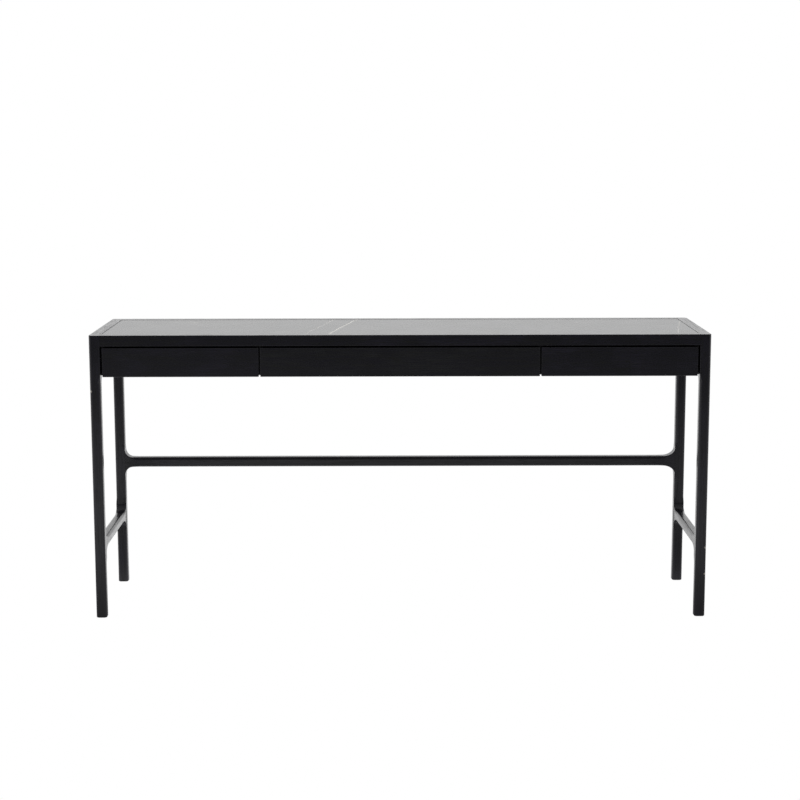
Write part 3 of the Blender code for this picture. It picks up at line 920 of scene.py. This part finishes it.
# --------------------------------------------------------------------- top frame
@dataclass
class TopFrame:
    """Four rails with a ledge inside, the sub-top on it, and the slab."""

    oak: StainedOak
    stone: HonedStone
    ease: float = 0.9 * MM
    hidden_ease: float = 0.5 * MM
    ledge: float = 6.0 * MM
    fit: float = 0.3 * MM
    slab_ease: float = 0.5 * MM

    def build(self) -> None:
        """Makes the rails and the slab, and finishes the sub-top."""
        for end in End:
            self.rail(Axis.X, f"top_rail_{end}", f"leg_{end}_left")
        for side in Side:
            self.rail(Axis.Y, f"top_rail_{side}", f"leg_front_{side}")
        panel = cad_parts["sub_top_panel"]
        panel.data.materials.clear()
        panel.data.materials.append(PressedBoard().material())
        low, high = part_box("stone_top")
        slab = Shape().eased_box(low, high, Axis.X, self.slab_ease, 3)
        stone = self.stone.material()
        slab.piece("stone_top_slab", stone, "frame", "stone", ["stone_top"])

    def rail(self, axis: Axis, node: str, leg: str) -> None:
        """Makes one rail: an upright bar as thick as the legs, with a ledge at its foot.

        Args:
            axis: The direction it runs in.
            node: Its CAD node.
            leg: The node of the leg that it starts from.
        """
        low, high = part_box(node)
        leg_low, leg_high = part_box(leg)
        across = 1 - axis.value
        outer, inner = sorted((low[across], high[across]), key=abs, reverse=True)
        edge = leg_high[across] if outer < 0 else leg_low[across]
        start = leg_high[axis.value] + self.fit
        stop = -start
        shelf = low.z + self.ledge
        small = self.hidden_ease
        section = (
            (outer, low.z, self.ease),
            (inner, low.z, small),
            (inner, shelf, small),
            (edge, shelf, small),
            (edge, high.z, self.ease),
            (outer, high.z, self.ease),
        )
        shape = Shape()
        if axis is Axis.X:
            shape.swept(axis, start, stop, filleted(section))
        else:
            # The long rails' ledges fill the corners, so a short rail's starts inside them.
            bar = (section[0], (edge, low.z, small), (edge, high.z, self.ease), section[5])
            shape.swept(axis, start, stop, filleted(bar))
            back = abs(edge - inner) + self.fit
            foot = ((edge, low.z, small), section[1], section[2], (edge, shelf, small))
            shape.swept(axis, start + back, stop - back, filleted(foot))
        shape.piece(f"{node}_oak", self.oak.material(axis, 1), "frame", "black_oak", [node])


# -------------------------------------------------------------------- stretchers
@dataclass
class Stretchers:
    """Soft-edged bars between the legs, flared out like branches where they meet."""

    oak: StainedOak
    round: float = 8.0 * MM
    crisp: float = 0.4 * MM
    side_flares: tuple[float, float] = (26.0 * MM, 26.0 * MM)
    rear_flares: tuple[float, float] = (20.0 * MM, 31.0 * MM)  # from left to right
    sweep: float = math.radians(82)
    runout: float = 20.0 * MM
    fit: float = 0.3 * MM
    steps: int = 16
    facets: int = 8  # in each long edge

    def build(self) -> None:
        """Makes the rear bar and the two side bars."""
        self.bar("rear_stretcher", Axis.X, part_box("leg_back_left")[1].x, self.rear_flares)
        for side in Side:
            node = f"side_stretcher_{side}"
            self.bar(node, Axis.Y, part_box("leg_front_left")[1].y, self.side_flares)

    def bar(
        self, node: str, axis: Axis, leg_face: float, flares: tuple[float, float]
    ) -> None:
        """Makes one bar.

        Args:
            node: Its CAD node.
            axis: The direction it runs in.
            leg_face: The coordinate of the leg's face that it starts from.
            flares: The lengths of its flares, from its lower end.
        """
        low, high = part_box(node)
        across = 1 - axis.value
        half = (high[across] - low[across]) / 2
        middle = (high[across] + low[across]) / 2
        centre = (high.z + low.z) / 2
        rise = (high.z - low.z) / 2 - half
        reach = -leg_face - self.fit
        ends = []
        for flare in flares:
            rings = []
            for along, lift in self.stations(flare, rise):
                share = min(along / (flare + self.runout), 1.0)
                share = share * share * (3 - 2 * share)
                outline = rounded(
                    (middle - half, centre - half - lift),
                    (middle + half, centre + half + lift),
                    [self.crisp + (self.round - self.crisp) * share] * 4,
                    self.facets,
                )
                rings.append((reach - along, outline))
            ends.append(rings)
        made = [laid(axis, -place, outline) for place, outline in ends[0]]
        made += [laid(axis, place, outline) for place, outline in reversed(ends[1])]
        oak = self.oak.material(axis, 2)
        Shape().loft(made).piece(f"{node}_oak", oak, "frame", "black_oak", [node])

    def stations(self, flare: float, rise: float) -> list[tuple[float, float]]:
        """How a flare draws in, from the leg to the plain bar.

        Args:
            flare: Its length.
            rise: How far it stands out at the leg.

        Returns:
            (distance from the leg, how far it stands out there).
        """
        made = []
        for step in range(self.steps + 1):
            angle = self.sweep * (1 - step / self.steps)
            along = flare * (1 - math.sin(angle) / math.sin(self.sweep))
            made.append((along, rise * (1 - math.cos(angle)) / (1 - math.cos(self.sweep))))
        return made + [(flare + self.runout * step / 4, 0.0) for step in range(1, 5)]


# ----------------------------------------------------------------------- carcase
@dataclass
class Carcase:
    """The aprons, the liners inside them, and the partitions between the drawers."""

    oak: StainedOak
    ease: float = 0.7 * MM
    fit: float = 0.3 * MM

    def build(self) -> None:
        """Makes the aprons, the liners and the partitions."""
        reach_x = -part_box("leg_back_left")[1].x - self.fit
        low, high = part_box("back_apron")
        board = Shape().eased_box(
            (-reach_x, low.y, low.z), (reach_x, high.y, high.z), Axis.X, self.ease
        )
        oak = self.oak.material(Axis.X, 3)
        board.piece("back_apron_oak", oak, "frame", "black_oak", ["back_apron"])
        reach_y = -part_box("leg_front_left")[1].y - self.fit
        for side in Side:
            node = f"side_apron_{side}"
            low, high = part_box(node)
            board = Shape().eased_box(
                (low.x, -reach_y, low.z), (high.x, reach_y, high.z), Axis.Y, self.ease
            )
            oak = self.oak.material(Axis.Y, 3)
            board.piece(f"{node}_oak", oak, "frame", "black_oak", [node])
            node = f"liner_{side}"
            board = Shape().eased_box(*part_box(node), Axis.Y, self.ease)
            board.piece(f"{node}_oak", oak, "frame", "black_oak", [node])
            self.partition(side)

    def partition(self, side: Side) -> None:
        """Makes one partition, notched round the rails' ledges.

        Args:
            side: Its side.
        """
        node = f"partition_{side}"
        low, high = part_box(node)
        rail_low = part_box("top_rail_front")[0]
        notch = rail_low.z - self.fit
        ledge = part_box("top_rail_back")[0].y - self.fit
        section = (
            (low.y, low.z, self.ease),
            (high.y, low.z, self.ease),
            (high.y, notch, self.ease),
            (ledge, notch, self.ease),
            (ledge, high.z, self.ease),
            (-ledge, high.z, self.ease),
            (-ledge, notch, self.ease),
            (low.y, notch, self.ease),
        )
        shape = Shape().swept(Axis.X, low.x, high.x, filleted(section))
        oak = self.oak.material(Axis.Y, 4)
        shape.piece(f"{node}_oak", oak, "frame", "black_oak", [node])


# ----------------------------------------------------------------------- drawers
@dataclass(frozen=True)
class Screw:
    """A pan-head wood screw, as much of it as shows."""

    radius: float = 3.4 * MM
    rise: float = 1.6 * MM
    socket: float = 1.5 * MM
    sunk: float = 0.2 * MM  # into the member, so that no gap shows
    sides: int = 20

    def add(self, shape: Shape, centre: Spot, axis: Axis, sign: int) -> None:
        """Adds one head with its drive recess.

        Args:
            shape: The shape to add it to.
            centre: Where its axis meets the surface.
            axis: The direction it faces in.
            sign: -1 where it faces down its axis.
        """
        rise, radius = self.rise, self.radius
        profile = (
            (radius, -self.sunk),
            (radius, 0.45 * rise),
            (0.9 * radius, 0.8 * rise),
            (0.7 * radius, rise),
            (self.socket, rise),
            (0.8 * self.socket, 0.35 * rise),
        )
        shape.turned(centre, profile, axis, sign, self.sides)


@dataclass(frozen=True)
class Slide:
    """One drawer slide: three rolled members, the innermost screwed to the drawer."""

    bay: str
    side: Side
    sheet: float = 1.2 * MM
    bend: float = 1.7 * MM  # outside a fold
    tight: float = 0.5 * MM  # inside it
    rim: float = 0.35 * MM
    screw_places: tuple[float, ...] = (0.12, 0.5, 0.88)  # shares of the member's length

    def build(self) -> None:
        """Makes the three members, with the screws of the drawer's."""
        stem = f"drawer_{self.bay}_slide_{self.side}"
        steel = ZincPlate().material(Axis.Y)
        drawer = f"drawer_{self.bay}"
        bodies = {"cabinet": "frame", "middle": f"slides_{self.bay}", "drawer": drawer}
        for member, body in bodies.items():
            node = f"{stem}_{member}"
            low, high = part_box(node)
            shape = Shape()
            near, far = (low.x, high.x) if self.side is Side.LEFT else (high.x, low.x)
            web, lip = (far, near) if member == "drawer" else (near, far)
            shape.swept(Axis.Y, low.y, high.y, self.channel(web, lip, low.z, high.z))
            if member == "drawer":
                x = web + self.side.value * self.sheet
                for share in self.screw_places:
                    y = low.y + (high.y - low.y) * share
                    Screw().add(shape, (x, y, (low.z + high.z) / 2), Axis.X, self.side.value)
            shape.piece(f"{node}_rolled", steel, body, "zinc_steel", [node])

    def channel(self, web: float, lip: float, low: float, high: float) -> list[Corner]:
        """A rolled C section.

        Args:
            web: The x of the web's outer face.
            lip: The x of the flanges' edges.
            low: The lowest z.
            high: The highest z.

        Returns:
            The section, in x and z.
        """
        into = math.copysign(self.sheet, lip - web)
        section = (
            (web, low, self.bend),
            (lip, low, self.rim),
            (lip, low + self.sheet, self.rim),
            (web + into, low + self.sheet, self.tight),
            (web + into, high - self.sheet, self.tight),
            (lip, high - self.sheet, self.rim),
            (lip, high, self.rim),
            (web, high, self.bend),
        )
        return filleted(section, 5)


@dataclass
class Drawer:
    """One drawer: a flat front, an oak box behind it, and its two slides."""

    bay: str
    front_oak: StainedOak
    box_oak: StainedOak
    front_ease: float = 1.5 * MM
    edge: float = 2.0 * MM
    small: float = 0.5 * MM
    wall: float = 12.0 * MM
    groove: float = 6.0 * MM
    fit: float = 0.3 * MM

    @property
    def body(self) -> str:
        """The CAD body that the drawer moves with."""
        return f"drawer_{self.bay}"

    def build(self) -> None:
        """Makes the front, the box and the slides."""
        name = self.body
        low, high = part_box(f"{name}_front")
        front = Shape().eased_box(low, high, Axis.X, self.front_ease, 5)
        oak = self.front_oak.material(Axis.X, 0)
        front.piece(f"{name}_front_oak", oak, name, "black_oak", [f"{name}_front"])
        for side in Side:
            self.box_side(side)
            Slide(self.bay, side).build()
        low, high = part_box(f"{name}_back")
        board = Shape().eased_box(low, high, Axis.X, self.edge)
        along = self.box_oak.material(Axis.X, 5)
        board.piece(f"{name}_back_oak", along, name, "drawer_wood", [f"{name}_back"])
        low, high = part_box(f"{name}_bottom")
        behind_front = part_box(f"{name}_front")[1].y + self.fit
        board = Shape().eased_box((low.x, behind_front, low.z), high, Axis.X, self.small)
        board.piece(f"{name}_bottom_oak", along, name, "drawer_wood", [f"{name}_bottom"])

    def box_side(self, side: Side) -> None:
        """Makes one side of the box, with the groove for the bottom.

        Args:
            side: Which side.
        """
        node = f"{self.body}_side_{side}"
        low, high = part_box(node)
        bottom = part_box(f"{self.body}_bottom")
        outer, inner = (low.x, high.x) if side is Side.LEFT else (high.x, low.x)
        depth = inner + side.value * self.groove
        section = (
            (outer, low.z, self.edge),
            (outer, high.z, self.edge),
            (inner, high.z, self.edge),
            (inner, bottom[1].z + self.fit, self.small),
            (depth, bottom[1].z + self.fit, self.small),
            (depth, bottom[0].z - self.fit, self.small),
            (inner, bottom[0].z - self.fit, self.small),
            (inner, low.z, self.small),
        )
        shape = Shape().swept(Axis.Y, low.y, high.y, filleted(section))
        oak = self.box_oak.material(Axis.Y, 5)
        shape.piece(f"{node}_oak", oak, self.body, "drawer_wood", [node])


# ------------------------------------------------------------------------ studio
@dataclass(frozen=True)
class Studio:
    """A pale floor that glows with painted light, a white surround behind the desk, a dim room
    before it.
    """

    aside: float = -0.0104
    distance: float = 4.6628  # from the desk's centre
    height: float = 1.2739
    turn: float = 0.127  # degrees to the right
    tilt: float = 8.848  # degrees down
    roll: float = -0.117
    lens: float = 78.80  # mm, on a 36 mm sensor
    surround: str = "#ffffff"
    room: str = "#fefefe"
    floor_size: float = 24.0
    peak: float = 1.25  # the brightest that the wall or the floor glows
    # How bright the wall is, from straight before the desk (0) to straight behind it (1).
    wall_glow: tuple[tuple[float, float], ...] = (
        (0.0, 0.02),
        (0.04, 0.20),
        (0.18, 0.38),
        (0.5, 0.60),
        (0.85, 0.86),
        (1.0, 1.04),
    )
    # How bright the floor glows at each y: a painted pool of light that fades towards the front,
    # and a painted shadow of the desk in the dip from y = -0.6 to -0.1.
    floor_glow: tuple[tuple[float, float], ...] = (
        (-6.0, 0.0),
        (-4.5, 0.05),
        (-3.8, 0.17),
        (-2.7, 0.42),
        (-1.8, 0.60),
        (-1.1, 0.80),
        (-0.6, 0.46),
        (-0.1, 0.28),
        (0.3, 0.90),
        (0.6, 1.20),
    )
    lean: float = 0.16  # painted light: the floor glows this much brighter on the left, dimmer on the right
    lean_reach: float = 1.0
    floor_drop: float = 0.2 * MM  # below the glides
    box_size: tuple[float, float] = (2.4, 1.6)
    box_place: Spot = (-2.2, -2.4, 2.6)
    box_aim: Spot = (0.0, 0.0, 0.5)
    box_power: float = 1.0  # watts

    def build(self) -> None:
        """Makes the camera, the surround, the floor and the soft light."""
        self.camera()
        self.world()
        self.floor()
        self.softbox()
        view = bpy.context.scene.view_settings
        view.view_transform = "Standard"
        view.look = "None"

    def camera(self) -> None:
        """Stands the camera before the desk, a little above its top."""
        data = bpy.data.cameras.new("camera")
        data.sensor_width = 36.0
        data.lens = self.lens
        data.clip_end = 100.0
        made = bpy.data.objects.new("camera", data)
        turn, tilt, roll = (math.radians(a) for a in (self.turn, self.tilt, self.roll))
        ahead = Vector(
            (
                math.sin(turn) * math.cos(tilt),
                math.cos(turn) * math.cos(tilt),
                -math.sin(tilt),
            )
        )
        right = Vector((math.cos(turn), -math.sin(turn), 0.0))
        up = right.cross(ahead)
        tipped = math.cos(roll) * right + math.sin(roll) * up
        upright = math.cos(roll) * up - math.sin(roll) * right
        turned = Matrix((tipped, upright, -ahead)).transposed().to_4x4()
        place = Matrix.Translation((self.aside, -self.distance, self.height))
        made.matrix_world = place @ turned
        bpy.context.scene.collection.objects.link(made)
        bpy.context.scene.camera = made

    def world(self) -> None:
        """A surround that is bright behind the desk and dark before it."""
        world = bpy.data.worlds.new("studio")
        bpy.context.scene.world = world
        world.use_nodes = True
        tree = world.node_tree
        tree.nodes.clear()
        toward = add_node(tree, "TexCoord").outputs["Generated"]
        parts = add_node(tree, "SeparateXYZ", (toward,))
        back = add_node(tree, "MapRange", (parts.outputs["Y"], -1.0, 1.0))
        stops = [(place, glow / self.peak) for place, glow in self.wall_glow]
        ramp = add_node(tree, "ValToRGB", (back,), stops=stops)
        strength = add_node(tree, "Math", (ramp, self.peak), operation="MULTIPLY")
        self.glowing(tree, "Background", strength, "OutputWorld")

    def glowing(self, tree: Tree, kind: str, glow: Node, output: str) -> None:
        """Lights the desk with a glow, and shows plain white to the camera.

        Args:
            tree: The node tree to add to.
            kind: The type of node that glows.
            glow: How brightly.
            output: The type of the tree's output.
        """
        lit = add_node(tree, kind, (linear(self.room), glow))
        plain = add_node(tree, kind, (linear(self.surround), 1.0))
        seen = add_node(tree, "LightPath").outputs["Is Camera Ray"]
        mixed = add_node(tree, "MixShader", (seen, lit, plain))
        add_node(tree, output, {"Surface": mixed})

    def floor(self) -> None:
        """A pale floor whose glow is painted light, a pool that darkens towards the room."""
        half = self.floor_size / 2
        data = bpy.data.meshes.new("floor")
        corners = [(-half, -half, 0), (half, -half, 0), (half, half, 0), (-half, half, 0)]
        data.from_pydata(corners, [], [(0, 1, 2, 3)])
        made = bpy.data.objects.new("floor", data)
        made.location.z = -self.floor_drop
        bpy.context.scene.collection.objects.link(made)
        material = bpy.data.materials.new("pale_lit_floor")
        material.use_nodes = True
        tree = material.node_tree
        tree.nodes.clear()
        place = add_node(tree, "TexCoord").outputs["Object"]
        parts = add_node(tree, "SeparateXYZ", (place,))
        # The glow is painted light: a pool bright behind the desk, a painted shadow of the desk
        # before its legs, and a painted lean of light from the left; the camera sees plain white.
        first, last = self.floor_glow[0][0], self.floor_glow[-1][0]
        along = add_node(tree, "MapRange", (parts.outputs["Y"], first, last))
        stops = [((y - first) / (last - first), glow / self.peak) for y, glow in self.floor_glow]
        ramp = add_node(tree, "ValToRGB", (along,), stops=stops)
        brighter, dimmer = self.peak * (1 + self.lean), self.peak * (1 - self.lean)
        inputs = (parts.outputs["X"], -self.lean_reach, self.lean_reach, brighter, dimmer)
        across = add_node(tree, "MapRange", inputs)
        glow = add_node(tree, "Math", (ramp, across), operation="MULTIPLY")
        self.glowing(tree, "Emission", glow, "OutputMaterial")
        data.materials.append(material)

    def softbox(self) -> None:
        """One wide soft light, high on the left before the desk."""
        data = bpy.data.lights.new("softbox", "AREA")
        data.shape = "RECTANGLE"
        data.size, data.size_y = self.box_size
        data.energy = self.box_power
        made = bpy.data.objects.new("softbox", data)
        made.location = self.box_place
        aim = Vector(self.box_aim) - made.location
        made.rotation_euler = aim.to_track_quat("-Z", "Y").to_euler()
        bpy.context.scene.collection.objects.link(made)


def main() -> None:
    """Builds the desk's parts in order, and the studio round them."""
    logging.basicConfig(level=logging.INFO, format="%(message)s", stream=sys.stdout)
    oak = StainedOak()
    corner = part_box("leg_front_left")[0]
    chips = tuple(
        (side.value * (-corner.x - Legs.chip_inset[0]), corner.y + Legs.chip_inset[1], z)
        for side, z in Legs.chip_heights
    )
    Legs(StainedOak(name="stained_oak_knocked", chips=chips)).build()
    stone = HonedStone(
        veins=(
            Vein((-0.1233, 0.1563), (-0.1877, -0.1838), 3.8, 1.0),
            Vein((-0.1878, 0.1323), (-0.2459, -0.1738), 2.0, 0.7),
            Vein((0.7659, 0.1098), (0.7177, -0.1751), 1.8, 0.6),
        )
    )
    TopFrame(oak, stone).build()
    Stretchers(oak).build()
    Carcase(oak).build()
    box_oak = StainedOak(
        name="stained_oak_drawer_box", colour="#2a2726", violet="#262221", late="#38332f"
    )
    greyer_oak = StainedOak(name="stained_oak_greyer_board", colour="#141415", violet="#222324")
    for bay, front_oak in (("left", oak), ("middle", greyer_oak), ("right", oak)):
        Drawer(bay, front_oak, box_oak).build()
    Studio().build()


if __name__ == "__main__":
    main()
